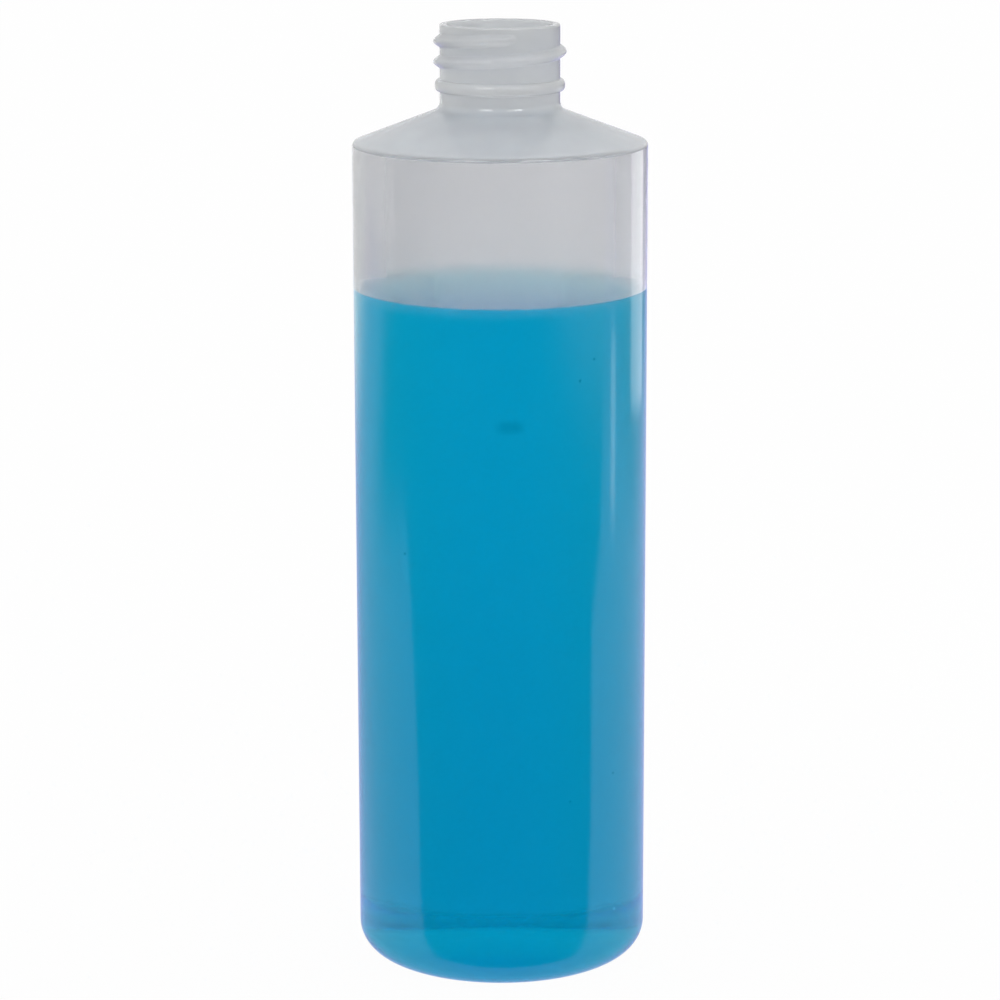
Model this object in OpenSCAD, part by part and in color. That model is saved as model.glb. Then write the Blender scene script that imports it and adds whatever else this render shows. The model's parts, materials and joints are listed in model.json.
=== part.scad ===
// Blown cylinder bottle with a screw neck, part filled with a blue liquid.
// Millimetres, +Z up. The origin is on the bottle's axis, in the plane it stands on.

/* [Body] */
// Outside diameter of the body
body_d = 61; // [45:0.5:90]
// Height of the corner where the side wall meets the shoulder
body_h = 173.8; // [155:0.2:240]
// Thickness of the side wall, the base and the shoulder
wall = 1; // [0.6:0.1:1.6]
// Outside radius of the heel, where the side wall turns under
heel_r = 6.2; // [3:0.1:9]

/* [Base] */
// Width of the flat ring that the bottle stands on
foot_w = 2; // [1:0.5:4]
// Height of the dome under the base
push_up = 3; // [1:0.2:5]

/* [Shoulder] */
// Rise of the shoulder cone, from the corner to the neck
shoulder_h = 6.9; // [4:0.1:16]
// Outside radius of the shoulder's corner
corner_r = 1; // [0.4:0.1:2]
// Radius of the fillets where the shoulder runs into the neck
root_r = 2; // [0.8:0.1:2.6]

/* [Neck] */
// Outside diameter of the neck, under its thread
neck_d = 24.8; // [20:0.2:33]
// Thickness of the neck wall
neck_wall = 1.6; // [1.2:0.1:2.4]
// Height of the neck, from the shoulder to the lip
neck_h = 17.3; // [16.5:0.1:26]
// Radius of the lip's outer edge
lip_r = 0.4; // [0.2:0.1:0.8]

/* [Bead] */
// How far the transfer bead stands out of the neck
bead_depth = 1; // [0.5:0.1:1.2]
// Thickness of the transfer bead
bead_w = 2.4; // [2:0.1:3]
// Distance from the lip down to the middle of the bead
bead_drop = 12.45; // [12:0.05:12.8]

/* [Thread] */
// How far the thread stands out of the neck
thread_depth = 1.3; // [0.8:0.1:1.6]
// Width of the thread where it leaves the neck
thread_w = 2.6; // [1.8:0.1:3]
// Rise of the thread in one turn
thread_pitch = 4.23; // [3.4:0.01:4.6]
// Number of turns
thread_turns = 1.5; // [1:0.05:1.75]
// Distance from the lip down to the middle of the thread's upper end
thread_drop = 2.2; // [1.9:0.1:2.8]
// Direction of the thread's upper end, anticlockwise from +X
thread_end_a = 292; // [0:1:359]
// Angle over which each end of the thread fades into the neck
thread_fade_a = 40; // [20:1:90]

/* [Liquid] */
// Height of the liquid's surface above the standing plane
fill_h = 143.7; // [20:0.1:150]

/* [Hidden] */
$fn = 128;

body_r = body_d / 2;
neck_r = neck_d / 2;
bore_r = neck_r - neck_wall;

// Slope of the shoulder, and the heights of its ends
slope_a = atan(shoulder_h / (body_r - neck_r));
neck_z = body_h + shoulder_h;
lip_z = neck_z + neck_h;

// Centre line of the heel, and the sphere that the domed base follows
heel_c = body_r - heel_r;
dome_c = heel_c - foot_w;
dome_r = (pow(dome_c, 2) + pow(push_up, 2)) / (2 * push_up);
dome_z = push_up - dome_r;

// Centre of the corner's arc, tangent to the side wall and to the shoulder
corner_z = body_h + corner_r * tan(slope_a) - corner_r / cos(slope_a);

// Centre of the bead's round section
bead_c = neck_r + bead_depth - bead_w / 2;
bead_z = lip_z - bead_drop;

// The thread's section is a cosine hump whose foot is sunk into the neck wall
thread_sink = neck_wall / 4;
thread_hump = thread_depth + thread_sink;
thread_half = thread_w / 2 * 90 / acos(thread_sink / thread_hump);
thread_steps = 12;
thread_step_a = 10;
thread_a = 360 * thread_turns;
thread_rings = ceil(thread_a / thread_step_a);

// Height of the shoulder's line over radius r, moved in by a wall of thickness t
function shoulder_z(r, t) = body_h + (body_r - r) * tan(slope_a) - t / cos(slope_a);

// Share of the thread's full height at an angle from its upper end
function fade(a) = sin(90 * min(1, min(a, thread_a - a) / thread_fade_a));

// One point of the thread, at radius r, angle a below the upper end and height dz from its middle
function thread_point(r, a, dz) = [
    r * cos(thread_end_a - a),
    r * sin(thread_end_a - a),
    lip_z - thread_drop - thread_pitch * a / 360 + dz
];

// The closed outline of the thread at an angle from its upper end: the hump, then its sunk back
function thread_ring(a) = concat(
    [for (k = [0 : thread_steps]) let (s = 2 * k / thread_steps - 1)
        thread_point(neck_r - thread_sink + thread_hump * fade(a) * cos(90 * s), a, s * thread_half)],
    [for (s = [1, -1]) thread_point(neck_r - 2 * thread_sink, a, s * thread_half)]
);

// Fills the angle between a neck of radius r and the shoulder line at wall t with an arc
module root_fillet(r, t) {
    centre = [r + root_r, shoulder_z(r + root_r, t) + root_r / cos(slope_a)];
    foot = centre - root_r * [sin(slope_a), cos(slope_a)];
    difference() {
        polygon([[0, foot.y], foot, [r, centre.y], [0, centre.y]]);
        translate(centre) circle(root_r);
    }
}

// Half section of the body and shoulder, moved in by a wall of thickness t
module belly_section(t) {
    translate([0, t]) square([heel_c, body_h / 2]);
    translate([heel_c, heel_r]) circle(heel_r - t);
    side_r = body_r - t;
    polygon([[0, heel_r], [side_r, heel_r], [side_r, shoulder_z(side_r, t)], [0, shoulder_z(0, t)]]);
}

// What the rounded corner of the shoulder leaves off the sharp one
module corner_waste() {
    tangent = [body_r - corner_r, corner_z] + corner_r * [sin(slope_a), cos(slope_a)];
    difference() {
        polygon([[body_r, corner_z], [body_r + wall, body_h], [body_r, body_h + wall], tangent]);
        translate([body_r - corner_r, corner_z]) circle(corner_r);
    }
}

// Half section of everything inside the outer surface, without bead and thread
module outer_section() {
    difference() {
        belly_section(0);
        corner_waste();
    }
    root_fillet(neck_r, 0);
    square([neck_r, lip_z - lip_r]);
    square([neck_r - lip_r, lip_z]);
    translate([neck_r - lip_r, lip_z - lip_r]) circle(lip_r);
}

// Half section of the hollow inside
module inner_section() {
    difference() {
        belly_section(wall);
        translate([0, dome_z]) circle(dome_r + wall);
    }
    root_fillet(bore_r, wall);
    translate([0, neck_z]) square([bore_r, neck_h + wall]);
}

module thread() {
    n = thread_steps + 3;
    points = [for (i = [0 : thread_rings]) each thread_ring(thread_a * i / thread_rings)];
    sides = [for (i = [0 : thread_rings - 1], k = [0 : n - 1])
        let (a = i * n + k, b = i * n + (k + 1) % n) [a, a + n, b + n, b]];
    ends = [[for (k = [0 : n - 1]) k], [for (k = [n - 1 : -1 : 0]) thread_rings * n + k]];
    polyhedron(points, concat(sides, ends), convexity = 4);
}

module bottle() {
    color([0.83, 0.85, 0.88, 0.5]) {
        rotate_extrude() {
            difference() {
                outer_section();
                inner_section();
                translate([0, dome_z]) circle(dome_r);
            }
            translate([bead_c, bead_z]) circle(bead_w / 2);
        }
        thread();
    }
}

module liquid() {
    color([0, 0.56, 0.74, 0.9]) {
        rotate_extrude() {
            intersection() {
                inner_section();
                square([body_r, fill_h]);
            }
        }
    }
}

bottle();
liquid();
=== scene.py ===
import json
from math import acos, atan2, cos, exp, hypot, pi, radians, sin, sqrt, tan

import bmesh
import bpy
from bpy.props import FloatProperty, FloatVectorProperty, IntProperty, PointerProperty
from mathutils import Matrix, Vector


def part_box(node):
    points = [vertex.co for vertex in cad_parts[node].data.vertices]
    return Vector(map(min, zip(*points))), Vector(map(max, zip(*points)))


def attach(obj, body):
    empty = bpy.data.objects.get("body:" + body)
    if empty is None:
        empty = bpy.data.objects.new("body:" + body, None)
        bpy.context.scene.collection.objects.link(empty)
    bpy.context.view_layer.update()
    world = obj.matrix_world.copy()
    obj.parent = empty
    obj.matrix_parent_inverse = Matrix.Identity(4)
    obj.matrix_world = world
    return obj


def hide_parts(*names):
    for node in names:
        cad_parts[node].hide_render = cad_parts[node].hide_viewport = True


bl_info = {
    "name": "Cylinder bottle",
    "version": (1, 0, 0),
    "blender": (4, 5, 0),
    "location": "3D View > Sidebar > Bottle",
    "description": "Makes a milky screw-neck bottle, part filled with blue liquid, and its studio",
    "category": "Add Mesh",
}

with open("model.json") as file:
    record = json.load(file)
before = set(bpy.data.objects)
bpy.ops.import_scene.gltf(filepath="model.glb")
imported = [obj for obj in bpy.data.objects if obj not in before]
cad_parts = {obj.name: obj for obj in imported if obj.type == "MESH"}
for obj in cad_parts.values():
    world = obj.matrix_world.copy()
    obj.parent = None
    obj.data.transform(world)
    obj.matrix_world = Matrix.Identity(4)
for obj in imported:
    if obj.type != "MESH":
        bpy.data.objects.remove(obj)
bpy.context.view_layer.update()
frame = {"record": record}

MM = 0.001
BODY = "root"
BOTTLE_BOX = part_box("bottle")
LIQUID_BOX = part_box("liquid")
MOUNTS = {mount["name"]: mount for mount in frame["record"]["mounts"]}

# Marks on the outside of the wall: azimuth in degrees from the camera's side, height and radius
# in millimetres, and strength from 0 to 1. The last three specks make one faint dark patch.
PITS = (
    (-32.5, 165.1, 0.6, 1.0), (-19.5, 164.5, 0.4, 1.0),
    (50.8, 13.9, 0.6, 1.0), (35.0, 54.3, 0.5, 1.0),
)
SPECKS = (
    (38.3, 132.5, 0.5, 0.6), (31.7, 128.4, 0.5, 0.6), (49.7, 44.1, 0.5, 0.6),
    (-40.1, 92.0, 0.5, 0.6), (27.7, 40.1, 0.45, 0.5),
    (0.5, 119.6, 2.4, 0.14), (3.5, 119.6, 2.4, 0.14), (6.5, 119.6, 2.4, 0.14),
)

# Longest row of faces on the side wall and on the shoulder, and how far from the ends of a
# straight the rows lie that hold them
SIDE_ROW = 6 * MM
SHOULDER_ROW = 2 * MM
BRACE = 0.3 * MM

WHITE = (1.0, 1.0, 1.0, 1.0)
BLACK = (0.0, 0.0, 0.0, 1.0)


def length(name, description, default, low=0.0, high=1.0):
    """A length in metres that the sidebar shows in the scene's units."""
    return FloatProperty(
        name=name, description=description, default=default,
        min=low, max=high, unit="LENGTH", precision=5,
    )


def factor(name, description, default, low=0.0, high=1.0):
    """A plain number, such as a roughness."""
    return FloatProperty(
        name=name, description=description, default=default,
        min=low, max=high, precision=3,
    )


def angle(name, description, default):
    """An angle in radians that the sidebar shows in degrees."""
    return FloatProperty(name=name, description=description, default=default, subtype="ANGLE")


def colour(name, description, default):
    """A linear colour."""
    return FloatVectorProperty(
        name=name, description=description, default=default,
        min=0.0, max=1.0, size=3, subtype="COLOR",
    )


class BottleSizes(bpy.types.PropertyGroup):
    """Sizes of the blown bottle."""

    body_radius: length("Body radius", "Outside radius of the side wall", BOTTLE_BOX[1][0])
    lip_height: length("Height", "Height of the lip above the foot", BOTTLE_BOX[1][2])
    wall: length("Wall", "Thickness of the side wall", BOTTLE_BOX[1][0] - LIQUID_BOX[1][0])
    bore_radius: length("Bore radius", "Radius of the neck's bore",
                        MOUNTS["neck_bore"]["dims"]["r_mm"] * MM)
    neck_radius: length("Neck radius", "Outside radius of the neck", 12.4 * MM)
    neck_height: length("Neck height", "Height of the neck above the shoulder", 17.3 * MM)
    shoulder_rise: length("Shoulder rise", "Height of the shoulder cone", 6.9 * MM)
    heel_radius: length("Heel radius", "Radius of the rounded heel", 6.2 * MM)
    corner_radius: length("Corner radius", "Radius of the shoulder's corner", 1.0 * MM)
    root_radius: length("Root radius", "Radius where the shoulder meets the neck", 2.0 * MM)
    lip_radius: length("Lip radius", "Radius of the lip's edges", 0.4 * MM)
    foot_width: length("Foot width", "Width of the ring that the bottle stands on", 2.0 * MM)
    push_up: length("Push-up", "Height of the dome under the base", 3.0 * MM)
    bead_depth: length("Bead depth", "How far the bead stands out", 1.0 * MM)
    bead_width: length("Bead width", "Thickness of the bead", 2.4 * MM)
    bead_drop: length("Bead drop", "Distance from the lip to the bead", 12.45 * MM)
    segments: IntProperty(name="Segments", description="Faces around the bottle",
                          default=240, min=48, max=512)


class ThreadSizes(bpy.types.PropertyGroup):
    """Sizes of the screw thread."""

    depth: length("Depth", "How far the thread stands out of the neck", 1.3 * MM)
    width: length("Width", "Width of the thread at its foot", 2.6 * MM)
    pitch: length("Pitch", "Rise in one turn", 4.23 * MM)
    turns: factor("Turns", "Number of turns", 1.5, 0.5, 3.0)
    drop: length("Drop", "Distance from the lip to the thread's upper end", 2.2 * MM)
    sink: length("Sink", "Depth of the thread's foot in the neck wall", 0.4 * MM)
    end_angle: angle("End angle", "Direction of the upper end from +X", radians(292))
    fade_angle: angle("Fade angle", "Angle over which each end fades", radians(40))
    row: length("Row", "Height of one row of faces on the neck", 0.2 * MM)


class LiquidSizes(bpy.types.PropertyGroup):
    """Sizes of the liquid."""

    fill_height: length("Fill height", "Height of the liquid's edge", LIQUID_BOX[1][2])
    meniscus: length("Meniscus", "How far the edge climbs the wall", 0.6 * MM)
    meniscus_reach: length("Meniscus reach", "Width over which the edge climbs", 1.4 * MM)
    gap: length("Gap", "Air between the liquid and the wall", 0.02 * MM)


class Finishes(bpy.types.PropertyGroup):
    """Colours and surfaces of the plastic and the liquid."""

    wall: colour("Wall colour", "Colour that the wetted side wall lets through",
                 (0.868, 0.868, 0.878))
    clear: colour("Clear colour", "Colour that the other plastic lets through",
                  (0.86, 0.86, 0.868))
    wall_haze: factor("Wall haze", "Roughness of the outside", 0.12)
    dry_haze: factor("Dry haze", "Roughness of the inside above the liquid", 0.18)
    foot_haze: factor("Foot haze", "Roughness of the outside around the foot", 0.2)
    frost: factor("Frost", "Roughness that light meets where it leaves the wall", 0.85)
    milk: colour("Milk colour", "Colour of the side wall's milkiness", (0.95, 0.95, 0.965))
    dry_milk: factor("Dry milkiness", "Milkiness of the side wall above the liquid", 0.1)
    neck_milk: factor("Neck milkiness", "Milkiness of the shoulder and neck", 0.55)
    # The lip, neck and shoulder colours paint light and shade on one plastic: greyer at the lip,
    # brighter and bluer on the lower neck, bluish grey on the shoulder.
    lip: colour("Lip colour", "Milkiness of the neck at the lip", (0.72, 0.74, 0.755))
    neck: colour("Neck colour", "Milkiness of the lower neck", (0.9, 0.935, 0.99))
    shoulder: colour("Shoulder colour", "Milkiness of the shoulder", (0.71, 0.74, 0.77))
    neck_haze: factor("Neck haze", "Roughness of the shoulder and neck", 0.16)
    scatter: length("Scatter", "Distance that light spreads inside the milky plastic", 4.0 * MM)
    plastic_ior: factor("Plastic IOR", "Refraction of the plastic", 1.5, 1.0, 2.5)
    grain_size: length("Grain", "Size of the surface's fine grain", 0.7 * MM)
    grain_height: length("Grain height", "Height of the fine grain", 0.004 * MM)
    seam: factor("Seam", "Height of the parting line, in grain heights", 4.0, 0.0, 20.0)
    pit: factor("Pit", "Depth of the pits, in grain heights", 8.0, 0.0, 20.0)
    cloud_size: length("Cloud size", "Size of the clouds in the neck's milkiness", 16.0 * MM)
    clouds: factor("Clouds", "Strength of the clouds in the neck's milkiness", 0.3)
    speck: colour("Speck colour", "Colour of the tiny specks in the wall", (0.2, 0.2, 0.2))
    liquid: colour("Liquid", "Colour that the liquid lets through", (0.0, 0.915, 0.985))
    liquid_density: factor("Liquid density", "Strength of the liquid's colour", 120.0, 0.0, 1000.0)
    liquid_ior: factor("Liquid IOR", "Refraction of the liquid", 1.333, 1.0, 2.5)


class StudioSettings(bpy.types.PropertyGroup):
    """Camera and light."""

    distance: length("Distance", "Camera in front of the bottle's axis", 739.14 * MM, 0.0, 5.0)
    height: length("Height", "Camera above the floor", 261.63 * MM, 0.0, 5.0)
    offset: length("Offset", "Camera to the right of the axis", -0.17 * MM, -1.0)
    pitch: angle("Pitch", "Camera tilted down", radians(12.477))
    roll: angle("Roll", "Camera turned about its view", radians(-0.127))
    focal: factor("Focal length", "Focal length in millimetres", 129.36, 10.0, 400.0)
    surround: factor("Surround", "Brightness of the studio around the bottle", 0.85)
    whiteness: factor("Whiteness", "Share of the floor that shows no shadow", 0.97)


SECTIONS = {
    "bottle_sizes": BottleSizes,
    "thread_sizes": ThreadSizes,
    "liquid_sizes": LiquidSizes,
    "bottle_finishes": Finishes,
    "bottle_studio": StudioSettings,
}


class Value:
    """A shader socket that Python's operators work on."""

    def __init__(self, tree, socket):
        self.tree = tree
        self.socket = socket

    def math(self, operation, *others):
        return self.tree.node("Math", {"operation": operation}, dict(enumerate((self, *others))))

    def __add__(self, other):
        return self.math("ADD", other)

    def __radd__(self, other):
        return self.math("ADD", other)

    def __sub__(self, other):
        return self.math("SUBTRACT", other)

    def __rsub__(self, other):
        return (self * -1.0) + other

    def __mul__(self, other):
        return self.math("MULTIPLY", other)

    def __rmul__(self, other):
        return self.math("MULTIPLY", other)

    def smooth(self, low, high):
        """0 below low and 1 above high, with a soft step between."""
        return self.tree.node(
            "MapRange", {"interpolation_type": "SMOOTHSTEP"},
            {"Value": self, "From Min": low, "From Max": high},
        )


class Shader:
    """A node tree that is built from Python expressions."""

    def __init__(self, tree):
        self.tree = tree
        self.tree.nodes.clear()

    def node(self, kind, settings=None, inputs=None, output=0):
        """Adds a node: its settings first, then the values or links of its sockets."""
        made = self.tree.nodes.new("ShaderNode" + kind)
        for name, setting in (settings or {}).items():
            setattr(made, name, setting)
        for name, value in (inputs or {}).items():
            if isinstance(value, Value):
                self.tree.links.new(value.socket, made.inputs[name])
            else:
                made.inputs[name].default_value = value
        return Value(self, made.outputs[output]) if made.outputs else None

    def position(self):
        return self.node("TexCoord", output="Object")

    def noise(self, place, size, detail=2.0):
        """Noise from 0 to 1 with spots of about the given size."""
        return self.node("TexNoise", inputs={"Vector": place, "Scale": 1.0 / size, "Detail": detail})

    def marks(self, place, radius, spots):
        """1 in the middle of each spot on a round wall, fading to 0 at its edge."""
        total = 0.0
        for azimuth, height, size, strength in spots:
            away = self.node("VectorMath", {"operation": "DISTANCE"}, {
                0: place, 1: around(azimuth, radius, height * MM),
            }, "Value")
            total = (1.0 - away.smooth(0.0, size * MM)) * strength + total
        return total

    def mix(self, share, first, second):
        """A colour between two colours."""
        return self.node(
            "Mix", {"data_type": "RGBA"}, {"Factor": share, "A": first, "B": second}, "Result"
        )


def new_material(name):
    material = bpy.data.materials.new(name)
    material.use_nodes = True
    return material, Shader(material.node_tree)


def opaque(rgb):
    return (*rgb, 1.0)


def plastic_material(name, ior, haze, frost, sizes, fill_height, finish):
    """Blown plastic with a fine grain: clearest where the liquid wets it, milky at the neck.

    Its surface has the roughness haze. Light that leaves the side wall or the heel meets the
    roughness frost instead, as it does in a wall that scatters it.
    """
    material, shader = new_material(name)
    place = shader.position()
    x, y, height = (
        shader.node("SeparateXYZ", inputs={"Vector": place}, output=axis) for axis in "XYZ"
    )
    radius = (x * x + y * y).math("SQRT")
    root = sizes.lip_height - sizes.neck_height
    corner = root - sizes.shoulder_rise
    neck = height.smooth(corner - 0.8 * MM, corner + 0.2 * MM)
    veil = height.smooth(fill_height - 3 * MM, fill_height + 5 * MM)
    dry = height.smooth(fill_height - 0.3 * MM, fill_height + 0.3 * MM)
    foot = 1.0 - height.smooth(2 * MM, 9 * MM)
    seam = 1.0 - y.math("ABSOLUTE").smooth(0.05 * MM, 0.25 * MM)
    leaving = shader.node("NewGeometry", output="Backfacing") * radius.smooth(19 * MM, 23 * MM)
    pits = shader.marks(place, sizes.body_radius, PITS)
    specks = shader.marks(place, sizes.body_radius, SPECKS)
    grain = shader.noise(place, finish.grain_size, 3.0)
    clouds = shader.noise(place, finish.cloud_size)
    outside_haze = neck * (finish.neck_haze - haze) + foot * (finish.foot_haze - haze) + haze
    coat = {
        "Roughness": leaving * frost + (1.0 - leaving) * outside_haze,
        "IOR": ior,
        "Normal": shader.node("Bump", inputs={
            "Strength": 1.0,
            "Distance": finish.grain_height,
            "Height": grain + seam * finish.seam - pits * finish.pit,
        }),
    }
    tint = shader.mix(dry + foot, opaque(finish.wall), opaque(finish.clear))
    clear = shader.node("BsdfPrincipled", inputs={
        **coat,
        "Base Color": shader.mix(specks, tint, opaque(finish.speck)),
        "Transmission Weight": 1.0,
    })
    # Painted light and shade: one milky plastic, painted greyer at the lip, brighter and bluer on
    # the lower neck, and bluish grey on the shoulder.
    neck_milk_and_painted_light = shader.mix(
        height.smooth(sizes.lip_height - 14 * MM, sizes.lip_height),
        opaque(finish.neck), opaque(finish.lip),
    )
    neck_milk_and_painted_light = shader.mix(
        height.smooth(root - 3 * MM, root + 2 * MM), opaque(finish.shoulder), neck_milk_and_painted_light,
    )
    cloudy = shader.node("BsdfPrincipled", inputs={
        **coat,
        "Base Color": shader.mix(neck, opaque(finish.milk), neck_milk_and_painted_light),
        "Subsurface Weight": 1.0,
        "Subsurface Radius": (1.0, 1.0, 1.0),
        "Subsurface Scale": finish.scatter,
    })
    milk = veil * finish.dry_milk + neck * (finish.neck_milk - finish.dry_milk)
    share = milk * (neck * (clouds - 0.5) * finish.clouds + 1.0)
    surface = shader.node("MixShader", inputs={"Fac": share, 1: clear, 2: cloudy})
    shader.node("OutputMaterial", inputs={"Surface": surface})
    return material


def liquid_material(finish):
    """Clear liquid whose colour deepens with its thickness. Light bends only at its level."""
    material, shader = new_material("blue_liquid")
    side, level = (
        shader.node("BsdfPrincipled", inputs={
            "Base Color": WHITE,
            "Roughness": 0.0,
            "IOR": ior,
            "Transmission Weight": 1.0,
        })
        for ior in (1.0, finish.liquid_ior)
    )
    normal = shader.node("TexCoord", output="Normal")
    upward = shader.node("SeparateXYZ", inputs={"Vector": normal}, output="Z")
    surface = shader.node("MixShader", inputs={"Fac": upward.smooth(0.4, 0.6), 1: side, 2: level})
    depth = shader.node("VolumeAbsorption", inputs={
        "Color": opaque(finish.liquid),
        "Density": finish.liquid_density,
    })
    shader.node("OutputMaterial", inputs={"Surface": surface, "Volume": depth})
    return material


def outline(bm, corners):
    """Adds an open chain of vertices in the XZ plane from (radius, height) pairs."""
    verts = [bm.verts.new((radius, 0.0, height)) for radius, height in corners]
    for start, end in zip(verts, verts[1:]):
        bm.edges.new((start, end))
    return verts


def round_corner(bm, vert, radius, segments):
    """Turns a corner of the chain into an arc of the given radius."""
    ends = [edge.other_vert(vert).co - vert.co for edge in vert.link_edges]
    turn = pi - ends[0].angle(ends[1])
    bmesh.ops.bevel(
        bm, geom=[vert], offset=radius * tan(turn / 2), segments=segments,
        profile=0.5, affect="VERTICES", material=-1,
    )


def cut(bm, edges, cuts):
    """Cuts edges into equal pieces and returns the new vertices."""
    made = bmesh.ops.subdivide_edges(bm, edges=edges, cuts=cuts)["geom_inner"]
    return [element for element in made if isinstance(element, bmesh.types.BMVert)]


def middle(edge):
    return (edge.verts[0].co + edge.verts[1].co) / 2


def bend(bm, start, end, cuts, height):
    """Cuts the chain's edge between two corners and sets the cuts' heights from their radius."""
    place = Vector((start[0] + end[0], 0.0, start[1] + end[1])) / 2
    edge = min(bm.edges, key=lambda edge: (middle(edge) - place).length)
    for vert in cut(bm, [edge], cuts):
        vert.co.z = height(vert.co.x)


def brace(bm, reach):
    """Puts a row near both ends of each long straight, so that smooth shading keeps it flat."""
    made = set(cut(bm, [edge for edge in bm.edges if edge.calc_length() > 4 * reach], 2))
    for vert in made:
        ends = [edge.other_vert(vert) for edge in vert.link_edges]
        anchor = next(end for end in ends if end not in made)
        vert.co = anchor.co + (vert.co - anchor.co).normalized() * reach


def divide(bm, low, high, step):
    """Cuts the chain between two heights until no piece is longer than a step."""
    def long_pieces():
        return [edge for edge in bm.edges
                if low < middle(edge).z < high and edge.calc_length() > step * 1.001]
    while edges := long_pieces():
        cut(bm, edges[:1], int(edges[0].calc_length() / step))


def turn_round(bm, segments):
    """Spins the chain about the axis into a closed shell."""
    bmesh.ops.spin(
        bm, geom=bm.verts[:] + bm.edges[:], cent=(0, 0, 0), axis=(0, 0, 1),
        angle=2 * pi, steps=segments, use_merge=True, use_duplicate=False,
    )
    bmesh.ops.remove_doubles(bm, verts=bm.verts, dist=1e-7)
    bmesh.ops.recalc_face_normals(bm, faces=bm.faces)


def finish_piece(bm, name, materials, node):
    """Makes the piece's object, which stands for a node of the frame."""
    for face in bm.faces:
        face.smooth = True
    mesh = bpy.data.meshes.new(name)
    bm.to_mesh(mesh)
    bm.free()
    for material in materials:
        mesh.materials.append(material)
    piece = bpy.data.objects.new(name, mesh)
    bpy.context.scene.collection.objects.link(piece)
    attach(piece, BODY)
    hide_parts(node)
    return piece


class Shoulder:
    """The slope of the shoulder, and where it meets a wall moved in by a thickness."""

    def __init__(self, sizes):
        self.body_radius = sizes.body_radius
        self.body_height = sizes.lip_height - sizes.neck_height - sizes.shoulder_rise
        self.slope = atan2(sizes.shoulder_rise, sizes.body_radius - sizes.neck_radius)

    def height(self, radius, inset):
        rise = (self.body_radius - radius) * tan(self.slope)
        return self.body_height + rise - inset / cos(self.slope)


class Dome:
    """The sphere that the base follows."""

    def __init__(self, sizes):
        self.edge = sizes.body_radius - sizes.heel_radius - sizes.foot_width
        self.radius = (self.edge ** 2 + sizes.push_up ** 2) / (2 * sizes.push_up)
        self.height = sizes.push_up - self.radius

    def sphere(self, inset):
        """The height of the sphere, moved up by a thickness, over a radius."""
        return lambda radius: self.height + sqrt((self.radius + inset) ** 2 - radius ** 2)

    def edge_at(self, height, inset):
        """Radius at which the sphere, moved up by a thickness, passes a height."""
        return sqrt((self.radius + inset) ** 2 - (height - self.height) ** 2)


def thread_depth(sizes, thread, around, height):
    """How far the thread stands out of the neck at an angle and a height."""
    hump = thread.depth + thread.sink
    half = thread.width / 2 * (pi / 2) / acos(thread.sink / hump)
    whole = 2 * pi * thread.turns
    deepest = 0.0
    down = (thread.end_angle - around) % (2 * pi)
    while down < whole:
        middle = sizes.lip_height - thread.drop - thread.pitch * down / (2 * pi)
        across = (height - middle) / half
        if abs(across) < 1.0:
            ends = min(1.0, min(down, whole - down) / thread.fade_angle)
            depth = hump * sin(pi / 2 * ends) * cos(pi / 2 * across) - thread.sink
            deepest = max(deepest, depth)
        down += 2 * pi
    return deepest


def raise_thread(bm, sizes, thread):
    """Moves the neck's outer rows out along the helix."""
    top = sizes.lip_height - sizes.lip_radius
    bottom = sizes.lip_height - sizes.bead_drop + sizes.bead_width / 2
    for vert in bm.verts:
        radius = hypot(vert.co.x, vert.co.y)
        if abs(radius - sizes.neck_radius) < 1e-6 and bottom < vert.co.z < top:
            depth = thread_depth(sizes, thread, atan2(vert.co.y, vert.co.x), vert.co.z)
            vert.co.xy *= (radius + depth) / radius


def faces_hollow(face, centre):
    """Whether a face of the shell looks into the bottle: at the axis, or up from the base."""
    above_base = 50 * MM
    inside = Vector((0.0, 0.0, max(centre.z, above_base)))
    return face.normal.dot(inside - centre) > 0


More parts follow.
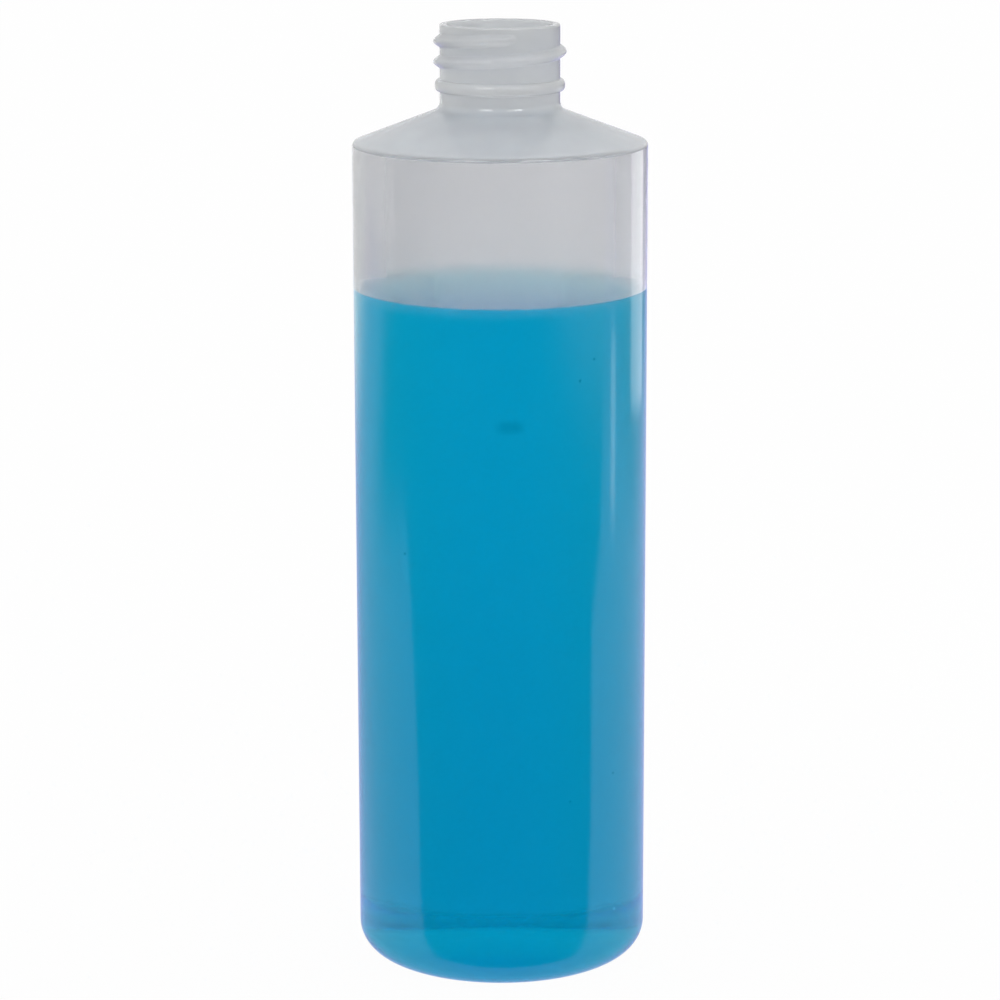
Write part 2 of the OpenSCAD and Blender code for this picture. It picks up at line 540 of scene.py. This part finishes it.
class OBJECT_OT_bottle_shell(bpy.types.Operator):
    """Makes the blown bottle: base, side wall, shoulder, neck, bead, thread and lip in one shell"""

    bl_idname = "object.bottle_shell"
    bl_label = "Bottle shell"

    def execute(self, context):
        sizes = context.scene.bottle_sizes
        thread = context.scene.thread_sizes
        fill_height = context.scene.liquid_sizes.fill_height
        shoulder = Shoulder(sizes)
        dome = Dome(sizes)
        inner_radius = sizes.body_radius - sizes.wall
        neck_height = sizes.lip_height - sizes.neck_height
        bead_height = sizes.lip_height - sizes.bead_drop
        bead_radius = sizes.neck_radius + sizes.bead_depth
        bead_low = bead_height - sizes.bead_width / 2
        bead_high = bead_height + sizes.bead_width / 2
        bead_edge = sizes.bead_width * 0.45
        bm = bmesh.new()
        foot = (dome.edge, 0.0)
        inner_foot = (dome.edge_at(sizes.wall, sizes.wall), sizes.wall)
        pole = (0.0, sizes.push_up)
        inner_pole = (0.0, sizes.push_up + sizes.wall)
        chain = outline(bm, [
            pole,
            foot,
            (sizes.body_radius, 0.0),
            (sizes.body_radius, shoulder.body_height),
            (sizes.neck_radius, neck_height),
            (sizes.neck_radius, bead_low),
            (bead_radius, bead_low),
            (bead_radius, bead_high),
            (sizes.neck_radius, bead_high),
            (sizes.neck_radius, sizes.lip_height),
            (sizes.bore_radius, sizes.lip_height),
            (sizes.bore_radius, shoulder.height(sizes.bore_radius, sizes.wall)),
            (inner_radius, shoulder.height(inner_radius, sizes.wall)),
            (inner_radius, fill_height),
            (inner_radius, sizes.wall),
            inner_foot,
            inner_pole,
        ])
        for corner, radius, segments in (
            (2, sizes.heel_radius, 16),
            (3, sizes.corner_radius, 8),
            (4, sizes.root_radius, 8),
            (5, sizes.lip_radius, 4),
            (6, bead_edge, 8),
            (7, bead_edge, 8),
            (8, sizes.lip_radius, 4),
            (9, sizes.lip_radius, 5),
            (10, sizes.lip_radius, 5),
            (11, sizes.root_radius, 8),
            (12, sizes.lip_radius, 4),
            (14, sizes.heel_radius - sizes.wall, 16),
        ):
            round_corner(bm, chain[corner], radius, segments)
        bend(bm, pole, foot, 24, dome.sphere(0.0))
        bend(bm, inner_pole, inner_foot, 24, dome.sphere(sizes.wall))
        brace(bm, BRACE)
        divide(bm, sizes.heel_radius, shoulder.body_height - sizes.corner_radius, SIDE_ROW)
        divide(bm, shoulder.body_height, neck_height, SHOULDER_ROW)
        divide(bm, bead_high + sizes.lip_radius, sizes.lip_height - sizes.lip_radius, thread.row)
        turn_round(bm, sizes.segments)
        raise_thread(bm, sizes, thread)
        finish = context.scene.bottle_finishes
        for face in bm.faces:
            centre = face.calc_center_median()
            if faces_hollow(face, centre):
                face.material_index = 1 if centre.z < fill_height else 2
        ior = finish.plastic_ior
        materials = [
            plastic_material(name, ior, haze, frost, sizes, fill_height, finish)
            for name, ior, haze, frost in (
                ("milky_plastic", ior, finish.wall_haze, finish.frost),
                ("wet_plastic", ior / finish.liquid_ior, finish.wall_haze, finish.wall_haze),
                ("inner_plastic", ior, finish.dry_haze, finish.dry_haze),
            )
        ]
        finish_piece(bm, "bottle_shell", materials, "bottle")
        return {"FINISHED"}


class OBJECT_OT_bottle_liquid(bpy.types.Operator):
    """Fills the bottle with blue liquid that climbs a little at the wall"""

    bl_idname = "object.bottle_liquid"
    bl_label = "Bottle liquid"

    def execute(self, context):
        sizes = context.scene.bottle_sizes
        liquid = context.scene.liquid_sizes
        dome = Dome(sizes)
        inset = sizes.wall + liquid.gap
        side = sizes.body_radius - inset
        level = liquid.fill_height - liquid.meniscus
        pole = (0.0, sizes.push_up + inset)
        foot = (dome.edge_at(inset, inset), inset)
        shore = (side, liquid.fill_height)
        reaches_to_still = 6
        still = (side - reaches_to_still * liquid.meniscus_reach, level)
        bm = bmesh.new()
        chain = outline(bm, [pole, foot, (side, inset), shore, still, (0.0, level)])
        round_corner(bm, chain[2], sizes.heel_radius - inset, 16)
        bend(bm, pole, foot, 24, dome.sphere(inset))
        bend(bm, shore, still, 16, lambda radius: (
            level + liquid.meniscus * exp((radius - side) / liquid.meniscus_reach)
        ))
        brace(bm, BRACE)
        divide(bm, sizes.heel_radius, level - liquid.meniscus, SIDE_ROW)
        turn_round(bm, sizes.segments)
        finish = context.scene.bottle_finishes
        finish_piece(bm, "liquid_fill", [liquid_material(finish)], "liquid")
        return {"FINISHED"}


def card(name, corners, material):
    """A flat sheet of the studio."""
    bm = bmesh.new()
    bm.faces.new([bm.verts.new(corner) for corner in corners])
    mesh = bpy.data.meshes.new(name)
    bm.to_mesh(mesh)
    bm.free()
    mesh.materials.append(material)
    sheet = bpy.data.objects.new(name, mesh)
    bpy.context.scene.collection.objects.link(sheet)
    return sheet


def floor_material(studio):
    """White paper that looks white, and paler or darker in reflections and through the bottle."""
    material, shader = new_material("white_paper")
    axes = {"Vector": shader.position()}
    x = shader.node("SeparateXYZ", inputs=axes, output="X")
    y = shader.node("SeparateXYZ", inputs=axes, output="Y")
    camera = shader.node("LightPath", output="Is Camera Ray")
    glossy = shader.node("LightPath", output="Is Glossy Ray")
    through = shader.node("LightPath", output="Is Transmission Ray")
    # A ray through the plastic counts as glossy too, so only the rest of them are reflections
    mirrored = glossy * (1.0 - through)
    # Places on the paper, in metres to the left or right of the bottle and behind it
    left = x * -1.0
    edge = left.smooth(0.9, 1.1)
    far_left = left.smooth(0.33, 0.56) * (1.0 - edge) * (1.0 - y.smooth(0.05, 0.3))
    back_left = left.smooth(0.0, 0.3) * y.smooth(0.35, 0.8)
    back_right = x.smooth(0.2, 0.5) * y.smooth(0.1, 0.3) * 0.45 + x.smooth(0.3, 0.7) * 0.3
    pale = back_left.math("MAXIMUM", edge)
    # Painted shadow: seen through the bottle, the paper close behind it is darker and bluish, as the
    # bottle's blue-tinted shadow.
    near = through * (1.0 - y.smooth(0.3, 0.62))
    # How bright the paper is in a reflection, and seen through the bottle
    tone = (x.smooth(-0.2, 0.1) * 0.25 - back_right) * (1.0 - pale) + pale * 0.2 + 0.8
    reflected = tone * (1.0 - far_left)
    # Seen through the bottle the paper is dimmer to the left, and painted darker close behind the
    # bottle as its shadow.
    behind = (studio.surround + 0.11 - near * 0.11) * (1.0 - left.smooth(0.05, 0.5) * 0.25)
    level = camera * studio.whiteness + mirrored * reflected + through * behind
    # Painted blue-tinted shadow of the bottle on the paper close behind it, shown only through the
    # bottle.
    tint = shader.mix(near, WHITE, (0.78, 0.81, 0.9, 1.0))
    tint = shader.mix(mirrored * (1.0 - pale), tint, (0.62, 0.6, 1.0, 1.0))
    paper = shader.node("BsdfDiffuse", inputs={"Color": (0.9, 0.9, 0.9, 1.0)})
    black = shader.node("BsdfDiffuse", inputs={"Color": BLACK})
    white = shader.node("Emission", inputs={"Color": tint, "Strength": 1.0})
    lit = shader.node("MixShader", inputs={"Fac": glossy + through, 1: paper, 2: black})
    shown = shader.node("MixShader", inputs={"Fac": level, 1: lit, 2: white})
    shader.node("OutputMaterial", inputs={"Surface": shown})
    return material


def cloth_material():
    """Black cloth that the glossy plastic reflects, paler far out to the right."""
    material, shader = new_material("black_cloth")
    x = shader.node("SeparateXYZ", inputs={"Vector": shader.position()}, output="X")
    black = shader.node("BsdfDiffuse", inputs={"Color": BLACK})
    pale = shader.node("Emission", inputs={"Color": WHITE, "Strength": 1.0})
    share = x.smooth(0.5, 0.85) * 0.45
    cloth = shader.node("MixShader", inputs={"Fac": share, 1: black, 2: pale})
    shader.node("OutputMaterial", inputs={"Surface": cloth})
    return material


def softbox(name, azimuth, distance, height, aim, size, radiance):
    """An area lamp that looks at the bottle's axis, at the height aim."""
    width, tall = size
    data = bpy.data.lights.new(name, "AREA")
    data.shape = "RECTANGLE"
    data.size = width
    data.size_y = tall
    data.energy = radiance * pi * width * tall
    place = Vector(around(azimuth, distance, height))
    turn = (Vector((0.0, 0.0, aim)) - place).to_track_quat("-Z", "Y")
    lamp = bpy.data.objects.new(name, data)
    lamp.matrix_world = Matrix.Translation(place) @ turn.to_matrix().to_4x4()
    lamp.visible_camera = False
    bpy.context.scene.collection.objects.link(lamp)
    return lamp


def around(azimuth, distance, height):
    """A point around the axis, at degrees from the camera's side, to the right of it."""
    turn = radians(azimuth)
    return (sin(turn) * distance, -cos(turn) * distance, height)


class SCENE_OT_bottle_studio(bpy.types.Operator):
    """Sets the white floor, the lamps, the black cloths and the camera"""

    bl_idname = "scene.bottle_studio"
    bl_label = "Bottle studio"

    def execute(self, context):
        studio = context.scene.bottle_studio
        self.make_floor(studio)
        self.make_cloths()
        self.make_lamps()
        self.make_world(studio)
        self.make_camera(studio)
        context.scene.view_settings.view_transform = "Standard"
        return {"FINISHED"}

    def make_floor(self, studio):
        reach = 6.0
        corners = [(x * reach, y * reach, 0.0) for x, y in ((-1, -1), (1, -1), (1, 1), (-1, 1))]
        card("floor", corners, floor_material(studio))

    def make_cloths(self):
        """The dark side of the studio, where the camera stands. Only reflections show it."""
        cloth = cloth_material()
        lift = 0.2 * MM
        reach = 2.0
        depth = 1.0
        edge = [
            (-reach, 0.0), (-0.6, -0.06), (-0.432, -0.1), (-0.313, -0.102), (-0.215, -0.09),
            (-0.139, -0.07), (-0.073, -0.047), (-0.041, -0.038), (0.049, -0.034),
            (0.075, -0.04), (0.142, -0.054), (0.219, -0.072), (0.321, -0.095),
            (0.438, -0.055), (reach, 0.0),
        ]
        ground = [(x, y, lift) for x, y in (*edge[::-1], (-reach, -reach), (reach, -reach))]
        wall = [
            (-reach, -depth, 0.0), (reach, -depth, 0.0),
            (reach, -depth, reach), (-reach, -depth, reach),
        ]
        for name, corners in (("floor_cloth", ground), ("wall_cloth", wall)):
            sheet = card(name, corners, cloth)
            sheet.visible_camera = False
            sheet.visible_diffuse = False
            sheet.visible_transmission = False
            sheet.visible_shadow = False

    def make_lamps(self):
        """Two lamps in front, one low for the heel, and a strip and a glow at the right.

        Reflections alone show the strip, and light through the bottle alone the glow.
        """
        for side in (-1, 1):
            lamp = softbox(f"front_lamp_{side}", azimuth=side * 29, distance=0.66, height=0.54,
                           aim=0.19, size=(0.3, 0.3), radiance=8.0)
            lamp.visible_diffuse = False
        softbox("low_lamp", azimuth=96.4, distance=0.46, height=0.03,
                aim=0.03, size=(0.04, 0.06), radiance=1.7)
        for name, azimuth, radiance in (("strip_lamp", 132.5, 1.25), ("side_glow", 119, 1.7)):
            lamp = softbox(name, azimuth, distance=0.45, height=0.085,
                           aim=0.085, size=(0.19, 0.1), radiance=radiance)
            lamp.visible_glossy = name.endswith("lamp")
            lamp.visible_transmission = name.endswith("glow")

    def make_world(self, studio):
        world = bpy.data.worlds.new("studio")
        bpy.context.scene.world = world
        world.use_nodes = True
        shader = Shader(world.node_tree)
        path = shader.node("LightPath", output="Is Camera Ray")
        strength = path * (1.0 - studio.surround) + studio.surround
        light = shader.node("Background", inputs={"Color": WHITE, "Strength": strength})
        shader.node("OutputWorld", inputs={"Surface": light})

    def make_camera(self, studio):
        data = bpy.data.cameras.new("camera")
        data.lens = studio.focal
        data.clip_end = 20.0
        camera = bpy.data.objects.new("camera", data)
        tilt = Matrix.Rotation(pi / 2 - studio.pitch, 4, "X")
        roll = Matrix.Rotation(studio.roll, 4, "Z")
        place = Vector((studio.offset, -studio.distance, studio.height))
        camera.matrix_world = Matrix.Translation(place) @ tilt @ roll
        bpy.context.scene.collection.objects.link(camera)
        bpy.context.scene.camera = camera


class VIEW3D_PT_bottle(bpy.types.Panel):
    """Lists the bottle's sizes, finishes and operators"""

    bl_label = "Cylinder bottle"
    bl_space_type = "VIEW_3D"
    bl_region_type = "UI"
    bl_category = "Bottle"

    def draw(self, context):
        for section, group in SECTIONS.items():
            box = self.layout.box()
            box.label(text=group.__doc__)
            for name in group.__annotations__:
                box.prop(getattr(context.scene, section), name)
        for operator in OPERATORS:
            self.layout.operator(operator.bl_idname)


OPERATORS = (OBJECT_OT_bottle_shell, OBJECT_OT_bottle_liquid, SCENE_OT_bottle_studio)
CLASSES = (*SECTIONS.values(), *OPERATORS, VIEW3D_PT_bottle)


def register():
    for made in CLASSES:
        bpy.utils.register_class(made)
    for section, group in SECTIONS.items():
        setattr(bpy.types.Scene, section, PointerProperty(type=group))


def unregister():
    for section in SECTIONS:
        delattr(bpy.types.Scene, section)
    for made in reversed(CLASSES):
        bpy.utils.unregister_class(made)


def main():
    register()
    bpy.ops.object.bottle_shell()
    bpy.ops.object.bottle_liquid()
    bpy.ops.scene.bottle_studio()


if __name__ == "__main__":
    main()
